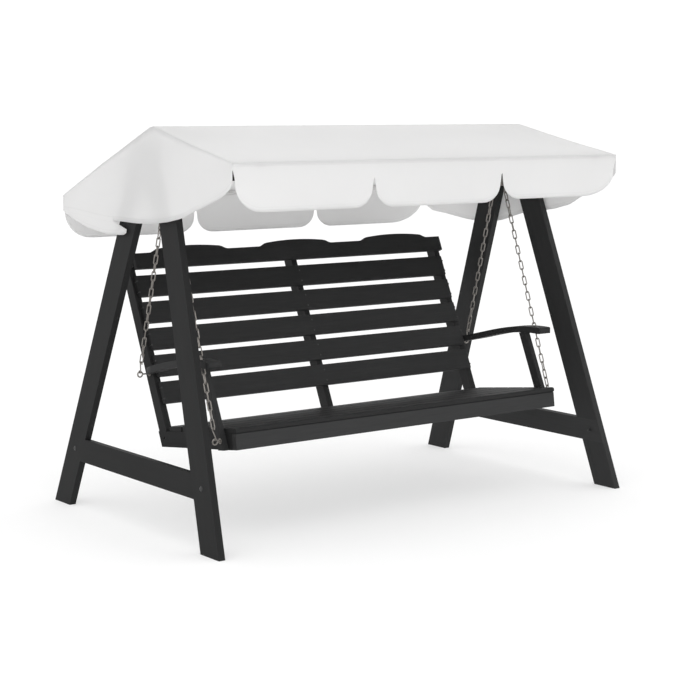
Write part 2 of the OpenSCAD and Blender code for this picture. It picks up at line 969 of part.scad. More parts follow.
module top_hooks() {
  color(zinc)
    for (side = [-1, 1], row = [0, 1])
      on_side(side)
        chain_line(row)
          s_hook(top_hook_c, hook_r, hook_r);
}

module lower_hooks() {
  color(zinc)
    for (side = [-1, 1], row = [0, 1])
      on_side(side)
        chain_line(row)
          translate([0, 0, -first_crown - links_len(row) - hook_r])
            rotate([0, 0, 90])
              s_hook(low_hook_c, hook_r, low_r);
}

// A ring bolt through the bench's side, its ring upright and outside. Its grip ends at x1.
module eye_bolt(p, x1) {
  x0 = bench_half - board_t;
  nut = 5;
  outer_washer_r = 11;
  translate([eye_x, p[0], p[1]])
    rotate([90, 0, 0])
      rotate_extrude()
        translate([eye_ring_r, 0])
          circle(r = eye_wire_r);
  along_x(x0 - 12, eye_x - eye_ring_r, p[0], p[1], eye_wire_r);
  along_x(x1, x1 + washer_t, p[0], p[1], outer_washer_r);
  along_x(x1 + washer_t, x1 + washer_t + nut, p[0], p[1], nut + cut);
  along_x(x0 - washer_t, x0, p[0], p[1], washer_r);
  along_x(x0 - washer_t - nut, x0 - washer_t, p[0], p[1], nut + cut);
}

module eye_bolts() {
  color(zinc)
    for (side = [-1, 1])
      on_side(side) {
        eye_bolt(front_eye, bench_half + post_t);
        eye_bolt(rear_eye, bench_half);
      }
}

// The three-cornered plate that hangs on the pin and spreads the two chains.
module delta_plate(side) {
  x0 = hang_x - delta_t / 2;
  x1 = hang_x + delta_t / 2;
  pin = [crotch_y, pin_z];
  lower = [pin + [delta_w, -delta_h], pin + [-delta_w, -delta_h]];
  slope = atan2(delta_h, delta_w);
  color(zinc)
    on_side(side)
      difference() {
        board(x0, x1)
          polygon(concat(
            arc(pin, delta_r, 90 - slope, 90 + slope),
            arc(lower[1], delta_r, 90 + slope, 270),
            arc(lower[0], delta_r, -90, 90 - slope)
          ));
        along_x(x0 - cut, x1 + cut, pin[0], pin[1], pin_r + running);
        for (c = lower)
          along_x(x0 - cut, x1 + cut, c[0], c[1], delta_hole_r);
      }
}

leg(-1, 0);  // left_front_leg
leg(-1, 1);  // left_rear_leg
leg(1, 0);  // right_front_leg
leg(1, 1);  // right_rear_leg
stretcher(-1);  // left_stretcher
stretcher(1);  // right_stretcher
head_block(-1);  // left_head_block
head_block(1);  // right_head_block
top_beam();
beam_brackets();
frame_bolts();
pivot_bolts();
hanger(-1);  // left_hanger
hanger(1);  // right_hanger
long_tube(ridge_p);  // ridge_tube
long_tube(front_tube_p);  // front_tube
long_tube(rear_tube_p);  // rear_tube
roof_arm(-1, 0);  // left_front_arm
roof_arm(-1, 1);  // left_rear_arm
roof_arm(1, 0);  // right_front_arm
roof_arm(1, 1);  // right_rear_arm
roof_connectors();
tube_caps();
pivot_plates();
canopy_cover();
tilt_knob(-1);  // left_tilt_knob
tilt_knob(1);  // right_tilt_knob
delta_plate(-1);  // left_delta_plate
delta_plate(1);  // right_delta_plate
top_hooks();
lower_hooks();
eye_bolts();
chain(-1, 0);  // left_front_chain
chain(-1, 1);  // left_rear_chain
chain(1, 0);  // right_front_chain
chain(1, 1);  // right_rear_chain
front_rail();
rail(0);  // left_rail
rail(1);  // middle_rail
rail(2);  // right_rail
seat_slat(1);  // seat_slat_1
seat_slat(2);  // seat_slat_2
seat_slat(3);  // seat_slat_3
seat_slat(4);  // seat_slat_4
seat_slat(5);  // seat_slat_5
stile(0);  // left_stile
stile(1);  // middle_stile
stile(2);  // right_stile
back_slat(1);  // back_slat_1
back_slat(2);  // back_slat_2
back_slat(3);  // back_slat_3
back_slat(4);  // back_slat_4
back_slat(5);  // back_slat_5
crest_rail();
armrest(-1);  // left_armrest
armrest(1);  // right_armrest
arm_post(-1);  // left_arm_post
arm_post(1);  // right_arm_post
bench_screws();
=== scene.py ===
# %% [markdown]
# # A garden glider swing, step by step
# The frame is a set of exact solids: boards, bolts, chains and tubes, in metres, with the origin
# on the floor and the front towards -Y. Here they get their timber, zinc and paint, and the
# plain solid of the canopy is replaced by a sewn cloth cover.

import json
import math
import random

import bmesh
import bpy
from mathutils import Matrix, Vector


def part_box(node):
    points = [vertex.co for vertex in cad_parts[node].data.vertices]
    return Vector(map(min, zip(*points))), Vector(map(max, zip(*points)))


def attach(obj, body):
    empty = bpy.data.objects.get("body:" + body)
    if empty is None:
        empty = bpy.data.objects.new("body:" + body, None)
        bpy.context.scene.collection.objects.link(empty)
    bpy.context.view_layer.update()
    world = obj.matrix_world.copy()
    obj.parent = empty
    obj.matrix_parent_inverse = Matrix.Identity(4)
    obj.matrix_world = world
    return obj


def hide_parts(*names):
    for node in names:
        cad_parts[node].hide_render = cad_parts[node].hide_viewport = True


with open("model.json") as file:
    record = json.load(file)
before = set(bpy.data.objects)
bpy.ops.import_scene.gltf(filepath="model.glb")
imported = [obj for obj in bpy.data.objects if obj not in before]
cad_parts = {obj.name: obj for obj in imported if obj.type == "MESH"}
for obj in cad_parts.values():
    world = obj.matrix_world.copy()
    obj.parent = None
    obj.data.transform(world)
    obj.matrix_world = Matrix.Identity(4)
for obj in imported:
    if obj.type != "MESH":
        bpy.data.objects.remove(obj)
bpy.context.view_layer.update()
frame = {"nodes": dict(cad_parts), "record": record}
parts = frame["nodes"]

# %% [markdown]
# ## Shader maths as plain Python
# A material is a graph of nodes. `Value` wraps one socket, so that `1 - mask` or `a * b` adds the
# Math nodes by itself, and `Recipe.node` makes every other node: settings first, then sockets.


# %% Small helpers for materials
class Value:
    """One output socket, with Python's arithmetic."""

    def __init__(self, recipe, socket):
        self.recipe = recipe
        self.socket = socket

    def _maths(self, operation, first, second):
        made = self.recipe.node("ShaderNodeMath", {"operation": operation}, {0: first, 1: second})
        return self.recipe.out(made, 0)

    def __add__(self, other):
        return self._maths("ADD", self, other)

    def __sub__(self, other):
        return self._maths("SUBTRACT", self, other)

    def __rsub__(self, other):
        return self._maths("SUBTRACT", other, self)

    def __mul__(self, other):
        return self._maths("MULTIPLY", self, other)

    __radd__ = __add__
    __rmul__ = __mul__


class Recipe:
    """One material in the making. Its methods add nodes and hand back their outputs."""

    def __init__(self, name):
        self.material = bpy.data.materials.new(name)
        self.material.use_nodes = True
        self.tree = self.material.node_tree
        self.tree.nodes.clear()

    def node(self, kind, settings=None, sockets=None):
        made = self.tree.nodes.new(kind)
        for key, value in (settings or {}).items():
            if key == "stops":
                ramp = made.color_ramp
                for stop, (place, level) in zip(ramp.elements, value):
                    stop.position = place
                    stop.color = (level, level, level, 1)
            else:
                setattr(made, key, value)
        for key, value in (sockets or {}).items():
            if isinstance(value, Value):
                self.tree.links.new(value.socket, made.inputs[key])
            else:
                made.inputs[key].default_value = value
        return made

    def out(self, made, key=0):
        return Value(self, made.outputs[key])

    def sine(self, angle):
        return self.out(self.node("ShaderNodeMath", {"operation": "SINE"}, {0: angle}))

    def absolute(self, value):
        return self.out(self.node("ShaderNodeMath", {"operation": "ABSOLUTE"}, {0: value}))

    def attribute(self, name):
        return self.out(self.node("ShaderNodeAttribute", {"attribute_name": name}), 2)

    def noise(self, where, scale, detail=3.0, rough=0.55):
        made = self.node(
            "ShaderNodeTexNoise",
            {"noise_dimensions": "3D"},
            {"Vector": where, "Scale": scale, "Detail": detail, "Roughness": rough},
        )
        return self.out(made, 0)

    def ramp(self, value, low, high):
        """Rises from 0 at low to 1 at high."""
        made = self.node("ShaderNodeValToRGB", {"stops": [(low, 0.0), (high, 1.0)]}, {0: value})
        return self.out(made, 0)

    def blend(self, share, dark, light):
        """The dark colour where the share is 0 and the light one where it is 1."""
        made = self.node(
            "ShaderNodeMix",
            {"data_type": "RGBA"},
            {0: share, 6: dark, 7: light},
        )
        return self.out(made, 2)

    def bump(self, height, strength, distance):
        made = self.node(
            "ShaderNodeBump", {}, {"Strength": strength, "Distance": distance, "Height": height}
        )
        return self.out(made, 0)

    def place(self, turn=(0, 0, 0), stretch=(1, 1, 1), shift=(0, 0, 0), source="Object"):
        """Coordinates on the piece, turned, stretched and shifted for a pattern."""
        coords = self.node("ShaderNodeTexCoord")
        made = self.node(
            "ShaderNodeMapping",
            {"vector_type": "TEXTURE"},
            {
                "Vector": self.out(coords, source),
                "Location": shift,
                "Rotation": turn,
                "Scale": stretch,
            },
        )
        return self.out(made, 0)

    def surface(self, **sockets):
        """The finished material: one Principled shader with these sockets."""
        names = {key.replace("_", " "): value for key, value in sockets.items()}
        shader = self.node("ShaderNodeBsdfPrincipled", {}, names)
        self.finish(shader)
        return self.material

    def thin_cloth(self, share, colour, **sockets):
        """A surface that lets a share of the light through to its other side."""
        names = {key.replace("_", " "): value for key, value in sockets.items()}
        front = self.node("ShaderNodeBsdfPrincipled", {}, {"Base Color": colour, **names})
        behind = self.node("ShaderNodeBsdfTranslucent", {}, {"Color": colour})
        mixed = self.node(
            "ShaderNodeMixShader",
            {},
            {0: share, 1: self.out(front), 2: self.out(behind)},
        )
        self.finish(mixed)
        return self.material

    def finish(self, shader):
        end = self.node("ShaderNodeOutputMaterial")
        self.tree.links.new(shader.outputs[0], end.inputs["Surface"])


def grey(level, warmth=0.0):
    """A nearly neutral colour, a little warmer or cooler."""
    return (level * (1 + warmth), level, level * (1 - warmth), 1)


print("helpers ready")

# %% [markdown]
# ## Stained timber
# The boards are softwood under an opaque anthracite stain. Its colour hides the grain, but the
# early wood is softer, so the surface keeps fine ridges along the board. The pattern lives in
# Object coordinates turned so that its long axis lies along each board. Each board is shifted to
# another place in the noise, because no two boards come from the same spot of a tree.
# The table of board factors makes a board lighter or darker than the rest. Its factors were found
# by trying, in one light, and they are part board tone and part painted light and shade: the front
# rail, the arms, four back slats and the right-hand legs and stretcher are made lighter where the
# front and side light falls on them, and the left-hand legs and stretcher are made darker as
# painted shade.

# %% The stain, board by board
chance = random.Random(7)
stain_dark, stain_middle, stain_light = 0.020, 0.023, 0.028
stain_hue = -0.01
fibre_size = (0.30, 0.012, 0.012)
ring_size = (0.9, 0.05, 0.05)
cloud_size = (0.35, 0.2, 0.2)
grain_depth = 0.0006
# Per board: above 1 is lighter and below 1 darker, partly board tone and partly painted light and
# shade.
board_tone_and_painted_light = {
    "front_rail": 1.6, "left_arm": 1.35, "right_arm": 1.4,
    "back_slat_1": 1.5, "back_slat_2": 1.4, "back_slat_3": 1.3, "back_slat_4": 1.2,
    "left_front_leg": 0.8, "left_rear_leg": 0.8, "left_stretcher": 0.75,
    "right_front_leg": 1.3, "right_rear_leg": 1.2, "right_stretcher": 1.5,
}


def stained(board, along):
    """Timber whose grain runs along a direction."""
    # The board's factor: part tone, part painted light and shade.
    pale = 1.0
    for start, factor in board_tone_and_painted_light.items():
        if board.startswith(start):
            pale = factor
    dark, middle, light = (
        grey(level * pale, stain_hue) for level in (stain_dark, stain_middle, stain_light)
    )
    recipe = Recipe("stain_" + board)
    turn = Vector((1, 0, 0)).rotation_difference(Vector(along)).to_euler()
    shift = tuple(chance.uniform(-3, 3) for _ in range(3))
    fibre = recipe.noise(recipe.place(turn, fibre_size, shift), 3.0, 5.0, 0.65)
    ring = recipe.noise(recipe.place(turn, ring_size, shift), 2.0, 2.0, 0.5)
    cloud = recipe.noise(recipe.place(turn, cloud_size, shift), 1.5, 2.0, 0.5)
    streak = recipe.ramp(fibre * 0.7 + ring * 0.3, 0.32, 0.68)
    patchy = recipe.blend(cloud * 0.5, recipe.blend(streak, dark, light), middle)
    relief = fibre * 0.6 + streak * 0.4
    return recipe.surface(
        Base_Color=patchy,
        Roughness=0.46 + 0.14 * fibre + 0.08 * cloud,
        Specular_IOR_Level=0.09,
        Normal=recipe.bump(relief, 0.28, grain_depth),
    )


def board_direction(name):
    """The direction of a board's grain, measured on its own solid."""
    low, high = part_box(name)
    size = high - low
    if size.x > max(size.y, size.z):
        return (1, 0, 0)
    points = [v.co for v in parts[name].data.vertices]
    middle = sum((p.y for p in points)) / len(points), sum((p.z for p in points)) / len(points)
    yy = sum((p.y - middle[0]) ** 2 for p in points)
    zz = sum((p.z - middle[1]) ** 2 for p in points)
    yz = sum((p.y - middle[0]) * (p.z - middle[1]) for p in points)
    lean = 0.5 * math.atan2(2 * yz, yy - zz)
    return (0, math.cos(lean), math.sin(lean))


slots = {s["node"]: s["material_slot"] for s in frame["record"]["subparts"]}
boards = sorted(n for n, s in slots.items() if s == "timber")
for name in boards:
    parts[name].data.materials.clear()
    parts[name].data.materials.append(stained(name, board_direction(name)))
print("stained", len(boards), "boards")

# %% [markdown]
# ## Softened edges
# A planed board has its sharp edges broken, and the light catches that narrow round. The solids
# have knife edges and come as loose triangles. So a Weld joins the triangles, a planar Decimate
# turns each flat side into one face, a Bevel rounds the edges, and Weighted Normal lets the big
# faces decide the shading, which keeps them flat up to the round. The modifiers leave the
# solid's own mesh as it is.


# %% Break the edges of the boards
def weld(part):
    """Joins the loose triangles of a solid."""
    join = part.modifiers.new("join", "WELD")
    join.merge_threshold = 0.00002


def round_edges(part, width, segments, sharp):
    """Rounds each edge that is sharper than an angle in degrees."""
    edge = part.modifiers.new("edge", "BEVEL")
    edge.width = width
    edge.segments = segments
    edge.limit_method = "ANGLE"
    edge.angle_limit = math.radians(sharp)


board_edge = 0.0022
same_plane = 0.4
for name in boards:
    board = parts[name]
    weld(board)
    sides = board.modifiers.new("planes", "DECIMATE")
    sides.decimate_type = "DISSOLVE"
    sides.angle_limit = math.radians(same_plane)
    round_edges(board, board_edge, 2, 40)
    flat_faces = board.modifiers.new("flat_faces", "WEIGHTED_NORMAL")
    flat_faces.mode = "FACE_AREA"
    flat_faces.weight = 90
print("rounded by", board_edge)

# %% [markdown]
# ## Zinc, black steel, black plastic and white tube
# The frame's record names a slot for each piece, and each slot gets its finish here. Zinc plate
# is a dull metal, blotchy where the plating passivated. Black steel wears a powder coat with a
# fine orange peel, black plastic is moulded, and the canopy's tubes are powder coated white.


# %% Metals and plastics
def zinc_plate():
    recipe = Recipe("zinc_plate")
    where = recipe.place()
    blotch = recipe.noise(where, 60.0, 4.0)
    fine = recipe.noise(where, 900.0, 2.0)
    tone = recipe.blend(recipe.ramp(blotch, 0.35, 0.7), grey(0.22, 0.08), grey(0.36, 0.06))
    return recipe.surface(
        Base_Color=tone,
        Metallic=0.9,
        Roughness=0.34 + 0.22 * blotch,
        Normal=recipe.bump(fine, 0.12, 0.0002),
    )


def powder_coat(name, level, warmth):
    recipe = Recipe(name)
    where = recipe.place()
    peel = recipe.noise(where, 700.0, 2.0)
    dust = recipe.noise(where, 9.0, 4.0)
    tone = recipe.blend(dust, grey(level * 0.9, warmth), grey(level * 1.1, warmth))
    return recipe.surface(
        Base_Color=tone,
        Roughness=0.36 + 0.16 * dust,
        Normal=recipe.bump(peel, 0.16, 0.0003),
    )


def moulded_black():
    recipe = Recipe("moulded_black")
    where = recipe.place()
    spark = recipe.noise(where, 1500.0, 1.0)
    haze = recipe.noise(where, 14.0, 3.0)
    tone = recipe.blend(haze, grey(0.018), grey(0.028))
    return recipe.surface(
        Base_Color=tone,
        Roughness=0.5 + 0.15 * haze,
        Normal=recipe.bump(spark, 0.2, 0.0002),
    )


finishes = {
    "zinc": zinc_plate(),
    "black_steel": powder_coat("black_coat", 0.025, -0.02),
    "black_plastic": moulded_black(),
    "white_tube": powder_coat("white_coat", 0.78, 0.01),
}
for name, slot_name in slots.items():
    if slot_name in finishes:
        parts[name].data.materials.clear()
        parts[name].data.materials.append(finishes[slot_name])
knob_edge = 0.0018
for name in ("left_tilt_knob", "right_tilt_knob"):
    weld(parts[name])
    round_edges(parts[name], knob_edge, 3, 30)
print("finishes", sorted(finishes))

# %% [markdown]
# ## Round things look round
# The solids of chains, bolts and tubes come as flat facets. Smooth shading by angle keeps their
# real edges sharp and lets the curved faces read as curved.

# %% Smooth the turned and drawn parts
board_crease, metal_crease = 25, 32
for name, slot_name in slots.items():
    if slot_name != "cloth":
        crease = board_crease if slot_name == "timber" else metal_crease
        parts[name].data.shade_smooth()
        parts[name].data.set_sharp_from_angle(angle=math.radians(crease))
print("shaded", len(slots) - 1, "nodes")

# %% [markdown]
# ## The canopy cover
# The real cover is sewn cloth over three tubes: a roof in two slopes, a triangular gable at each
# end, and a valance with rounded flaps all round. It is one sheet here: a grid is bent over the
# tubes, its rims are extruded down into gables and valances, and the corners are merged. The
# places come from the CAD solid's box and from the tubes.

# %% Measure what the cover hangs on
cover_low, cover_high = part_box("canopy_cover")


def tube_centre(name):
    low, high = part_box(name)
    return (low.y + high.y) / 2, (low.z + high.z) / 2


ridge_y, ridge_z = tube_centre("ridge_tube")
front_tube_y, front_tube_z = tube_centre("front_tube")
rear_tube_y, rear_tube_z = tube_centre("rear_tube")
front_y, rear_y = cover_low.y, cover_high.y
depth = rear_y - front_y
roof_top = cover_high.z
fall_front = (ridge_z - front_tube_z) / (ridge_y - front_tube_y)
fall_rear = (ridge_z - rear_tube_z) / (rear_tube_y - ridge_y)
front_z = roof_top - (ridge_y - front_y) * fall_front
rear_z = roof_top - (rear_y - ridge_y) * fall_rear
half_eaves = cover_high.x
gable_lean = 0.026
half_ridge = half_eaves - gable_lean
valance = rear_z - cover_low.z
print("ridge", round(ridge_y, 3), round(roof_top, 3), "eaves", round(front_z, 3), round(rear_z, 3))

# %% [markdown]
# ### Where the columns and rows of the grid go
# The front and the rear valance are three flaps each, with round corners and a slit between two
# flaps. So the grid's columns crowd together at the slits, and each column is told how far its
# hem hangs down. `hem_rise` is that round corner.

# %% Columns of the front and rear valances
slit = 0.005
slit_x = half_eaves / 3 + 0.001
crowded = [0.0, 0.0015, 0.005, 0.010, 0.017, 0.025, 0.035, 0.048, 0.070, 0.10, 0.14]
even_columns = 20
columns = []
flap_edges = [-half_eaves, -slit_x, slit_x, half_eaves]
for left, right in zip(flap_edges, flap_edges[1:]):
    start = left + (slit / 2 if left > -half_eaves else 0)
    stop = right - (slit / 2 if right < half_eaves else 0)
    a, b = start + crowded[-1], stop - crowded[-1]
    inner = [start + s for s in crowded] + [stop - s for s in crowded]
    inner += [a + (b - a) * k / even_columns for k in range(1, even_columns)]
    columns += sorted(inner)
print("columns", len(columns))

notch_run, notch_rise = 0.085, 0.062
left_end_run, right_end_run = 0.13, 0.20


def hem_rise(distance, reach, height):
    """How far a hem rises near a flap's edge: a quarter of an ellipse."""
    if distance >= reach:
        return 0.0
    return height * (1 - math.sqrt(max(0.0, 1 - (1 - distance / reach) ** 2)))


def end_hem(x, deep, corner_deep):
    """Depth of the front or rear valance below the eaves at x."""
    outer = half_eaves - abs(x)
    nearest = min(abs(abs(x) - (slit_x - slit / 2)), abs(abs(x) - (slit_x + slit / 2)))
    end_run = right_end_run if x > 0 else left_end_run
    notch = hem_rise(nearest, notch_run, notch_rise)
    return deep - max(notch, hem_rise(outer, end_run, deep - corner_deep))


# %% [markdown]
# ### The hem of a gable
# Seen from the side the hem is not level. It starts short at the front corner, sinks to a long
# low belly, and on the left a rear flap starts again behind a slanted slit. Each hem line is a
# few pairs: the share of the canopy's depth from its front edge, and how deep the hem hangs
# there below the line between the front and rear eaves. `flap_line` gives y and z in metres
# instead, along the hem of the flap.

# %% Hem lines of the gables
corner_deep_front = 0.075
corner_deep_rear = 0.062
roundness = 0.35


def along(points, t):
    """The value at t on a line through the points (place, value), a little rounded."""
    for (t0, v0), (t1, v1) in zip(points, points[1:]):
        if t <= t1:
            s = (t - t0) / (t1 - t0)
            s += roundness * (s * s * (3 - 2 * s) - s)
            return v0 + (v1 - v0) * s
    return points[-1][1]


def eaves_z(y):
    return front_z + (rear_z - front_z) * (y - front_y) / depth


left_gable_hem = [
    (0.0, corner_deep_front), (0.02, 0.102), (0.07, 0.122), (0.17, 0.146), (0.275, 0.171),
    (0.35, 0.176), (0.43, 0.174), (0.5, 0.166), (0.675, 0.137), (1.0, corner_deep_rear),
]
right_gable_hem = [
    (0.0, corner_deep_front), (0.02, 0.102), (0.07, 0.122), (0.147, 0.154), (0.221, 0.188),
    (0.295, 0.198), (0.444, 0.199), (0.567, 0.221), (0.705, 0.205), (0.931, 0.138),
    (1.0, corner_deep_rear + 0.03),
]
slit_share = 0.675
slit_y = front_y + slit_share * depth
flap_line = [
    (0.0, (0.116, 1.172)), (0.04, (0.118, 1.160)), (0.09, (0.128, 1.151)), (0.16, (0.149, 1.147)),
    (0.32, (0.272, 1.143)), (0.62, (0.440, 1.163)), (0.85, (0.541, 1.186)), (1.0, (0.641, 1.222)),
]
print("slit starts at y", round(slit_y, 3))

# %% [markdown]
# ### The roof between the tubes
# Stretched cloth is straight from tube to tube, bends round the ridge tube and sags a few
# millimetres in the middle of each slope. The rows of the grid crowd together at the ridge, at
# the eaves and at the slit, where the cloth bends.


# %% Shape of the roof
ridge_round = 0.020
sag_middle = 0.005
sag_less_at_ends = 0.4
lean_height = 0.16


def roof_z(y, x):
    """Height of the cloth over the tubes: straight slopes, a round ridge and a slight sag."""
    if y < ridge_y:
        run, fall, reach = ridge_y - y, fall_front, ridge_y - front_y
    else:
        run, fall, reach = y - ridge_y, fall_rear, rear_y - ridge_y
    soft = run - ridge_round / 2 if run > ridge_round else run * run / (2 * ridge_round)
    across = 1 - sag_less_at_ends * (x / half_eaves) ** 2
    sag = sag_middle * math.sin(math.pi * run / reach) ** 2 * across
    return roof_top - fall * (soft + ridge_round / 2) - sag


def half_width(z):
    """The gable leans out a little from the ridge down to the eaves."""
    share = min(1.0, max(0.0, (roof_top - z) / lean_height))
    return half_ridge + gable_lean * share


even_rows = 44
even = [front_y + depth * (k + 0.5) / even_rows for k in range(even_rows)]
near_ridge = [0.0, 0.006, 0.013, 0.02, 0.03]
ys = [y for y in even if abs(y - ridge_y) > 0.035]
ys += [ridge_y + d for d in near_ridge] + [ridge_y - d for d in near_ridge[1:]]
ys += [front_y, front_y + 0.006, rear_y - 0.006, rear_y]
ys += [slit_y - 0.0015, slit_y + 0.0015]
ys.sort()
print("rows of the roof", len(ys))

# %% [markdown]
# ### From grid to cover
# `create_grid` makes the flat sheet, and each of its vertices is lifted into place. Every vertex
# remembers its distance from the hem and from the nearest seam, and the material draws stitches
# there. The edges of the four rims are kept for the next step.

# %% Build the sheet
cover_mesh = bpy.data.meshes.new("canopy_cloth")
sheet = bmesh.new()
seam_layer = sheet.verts.layers.float.new("seam")
hem_layer = sheet.verts.layers.float.new("hem")
uv_layer = sheet.loops.layers.uv.new("cloth")
grid = bmesh.ops.create_grid(
    sheet, x_segments=len(columns) - 1, y_segments=len(ys) - 1, size=0.5
)
flat = {}
for v in grid["verts"]:
    i = round((v.co.x + 0.5) * (len(columns) - 1))
    j = round((v.co.y + 0.5) * (len(ys) - 1))
    flat[v] = (i, j)
for v, (i, j) in flat.items():
    y = ys[j]
    z = roof_z(y, columns[i])
    v.co = (columns[i] * half_width(z) / half_eaves, y, z)
    side = half_eaves - abs(columns[i])
    v[seam_layer] = min(side, abs(y - front_y), abs(y - rear_y), abs(y - ridge_y) + 0.004)
    v[hem_layer] = 1.0
rims = {"front": [], "rear": [], "left": [], "right": []}
for e in sheet.edges:
    (i0, j0), (i1, j1) = flat[e.verts[0]], flat[e.verts[1]]
    if j0 == j1 == 0:
        rims["front"].append(e)
    elif j0 == j1 == len(ys) - 1:
        rims["rear"].append(e)
    elif i0 == i1 == 0:
        rims["left"].append(e)
    elif i0 == i1 == len(columns) - 1:
        rims["right"].append(e)
print({k: len(v) for k, v in rims.items()})

# %% [markdown]
# ### Valances and gables
# Each rim is extruded down row by row, and a function says where each new vertex goes. The flaps
# billow a little, stand apart at their slits, and draw away from the gables at the corners.

# %% Extrude the rims down
rim_rows = 12
slit_top_front, slit_top_rear = 0.070, 0.060
front_gap, rear_gap = 0.018, 0.014
front_corner_gap, rear_corner_gap = 0.014, 0.006
right_flap_short = 0.010
corner_run, corner_drop = 0.14, 0.06
slit_run = 0.12
clear = 0.002
flap_billow, gable_billow = 0.003, 0.0022


def drop_rim(edges, index_of, rows, place):
    """Extrudes edges row by row. place(index, row) gives a vertex's place, seam and hem."""
    index = {}
    for e in edges:
        for v in e.verts:
            index[v] = index_of(v)
    for row in range(1, rows + 1):
        made = bmesh.ops.extrude_edge_only(sheet, edges=edges)["geom"]
        verts = [g for g in made if isinstance(g, bmesh.types.BMVert)]
        old = {tuple(round(c, 7) for c in v.co): k for v, k in index.items()}
        index = {v: old[tuple(round(c, 7) for c in v.co)] for v in verts}
        for v, k in index.items():
            v.co, v[seam_layer], v[hem_layer] = place(k, row)
        edges = [g for g in made if isinstance(g, bmesh.types.BMEdge)]
        edges = [e for e in edges if all(v in index for v in e.verts)]
    return edges, index


def spread_corner(x, down, gap):
    """Draws a valance's outer edge away from the gable, which opens the corner downwards."""
    near = max(0.0, 1 - (half_eaves - abs(x)) / corner_run)
    return x - math.copysign(gap * near * min(1.0, down / corner_drop), x)


def spread_slit(x, down, start, gap):
    """Draws the two flaps beside a slit apart below the place where the slit starts."""
    off = abs(x) - slit_x
    near = max(0.0, 1 - abs(off) / slit_run)
    fall = min(1.0, max(0.0, (down - start) / (valance - start)))
    return math.copysign(gap * near * fall, x * off) if off else 0.0


def front_place(i, row):
    x = columns[i]
    short = right_flap_short if x > slit_x else 0.0
    deep = end_hem(x, valance - short, corner_deep_front)
    down = deep * row / rim_rows
    wave = flap_billow * math.sin(9 * x) * (row / rim_rows) ** 2
    open_x = spread_corner(x, down, front_corner_gap)
    open_x += spread_slit(x, down, slit_top_front, front_gap)
    return (open_x, front_y + clear + wave, roof_z(front_y, x) - down), down, deep - down


def rear_place(i, row):
    x = columns[i]
    deep = end_hem(x, valance, corner_deep_rear)
    down = deep * row / rim_rows
    wave = flap_billow * math.sin(8 * x + 1) * (row / rim_rows) ** 2
    open_x = spread_corner(x, down, rear_corner_gap)
    open_x += spread_slit(x, down, slit_top_rear, rear_gap)
    return (open_x, rear_y - clear + wave, roof_z(rear_y, x) - down), down, deep - down


def gable_place(side, hem_line):
    """The placing function of the left gable for -1 or the right one for 1."""

    def place(j, row):
        y = ys[j]
        top = roof_z(y, half_eaves)
        t = (y - front_y) / depth
        hem = eaves_z(y) - along(hem_line, t)
        z = top + (hem - top) * row / rim_rows
        wave = gable_billow * math.sin(10 * y) * max(0.0, (row / rim_rows - 0.4)) ** 1.5
        x = side * (half_width(z) - clear / 2 + wave)
        return (x, y, z), 1.0, z - hem

    return place


def column_of(v):
    return flat[v][0]


def row_of(v):
    return flat[v][1]


drop_rim(rims["front"], column_of, rim_rows, front_place)
drop_rim(rims["rear"], column_of, rim_rows, rear_place)
left_gable = gable_place(-1, left_gable_hem)
left_hem, left_index = drop_rim(rims["left"], row_of, rim_rows, left_gable)
drop_rim(rims["right"], row_of, rim_rows, gable_place(1, right_gable_hem))
print("faces after the rims", len(sheet.faces))

# %% [markdown]
# ### The rear flap of the left gable
# Behind the slanted slit the cloth hangs lower than in front of it, so the hem of that stretch
# is extruded once more, with its columns slanting forwards. On the right the cloth hangs lower
# all along and has no slit.

# %% Extrude the rear flap
flap_rows = 5
far_from_seams = 0.1


def flap_place(j, row):
    y = ys[j]
    start_z = eaves_z(y) - along(left_gable_hem, (y - front_y) / depth)
    s = (y - slit_y) / (rear_y - slit_y)
    low_y = along([(t, p[0]) for t, p in flap_line], s)
    low_z = min(start_z, along([(t, p[1]) for t, p in flap_line], s))
    share = row / flap_rows
    z = start_z + (low_z - start_z) * share
    place = (clear / 2 - half_eaves, y + (low_y - y) * share, z)
    return place, far_from_seams, z - low_z


behind = [e for e in left_hem if all(ys[left_index[v]] > slit_y for v in e.verts)]
drop_rim(behind, lambda v: left_index[v], flap_rows, flap_place)
print("faces with the rear flap", len(sheet.faces))

# %% [markdown]
# ### Cut the slits and join the corners
# The faces in the narrow columns between two flaps are deleted below the top of each slit. The
# corners between valances and gables are merged along their first bit, where they are sewn, and
# stay open further down. Then the mesh gets its UV map, and its area is measured.

# %% Slits, corners and UV map
near_valance = 0.008
sewn_corner = 0.016
corner_zone, corner_join = 0.004, 0.0042


def off_valance(p):
    """Distance from the nearer of the front and the rear valance."""
    return min(abs(p.y - front_y), abs(p.y - rear_y))


gone = []
for f in sheet.faces:
    c = f.calc_center_median()
    slit_top = front_z - slit_top_front if c.y < ridge_y else rear_z - slit_top_rear
    in_column = abs(abs(c.x) - slit_x) < slit / 2
    if in_column and off_valance(c) < near_valance and c.z < slit_top:
        gone.append(f)
bmesh.ops.delete(sheet, geom=gone, context="FACES")
corner_verts = []
for v in sheet.verts:
    eaves = front_z if v.co.y < ridge_y else rear_z
    at_corner = abs(v.co.x) > half_eaves - corner_zone and off_valance(v.co) < corner_zone
    if at_corner and v.co.z > eaves - sewn_corner:
        corner_verts.append(v)
bmesh.ops.remove_doubles(sheet, verts=corner_verts, dist=corner_join)
loose = [v for v in sheet.verts if not v.link_faces]
bmesh.ops.delete(sheet, geom=loose, context="VERTS")
bmesh.ops.recalc_face_normals(sheet, faces=sheet.faces)
top_face = max(sheet.faces, key=lambda f: f.calc_center_median().z)
if top_face.normal.z < 0:
    bmesh.ops.reverse_faces(sheet, faces=sheet.faces)
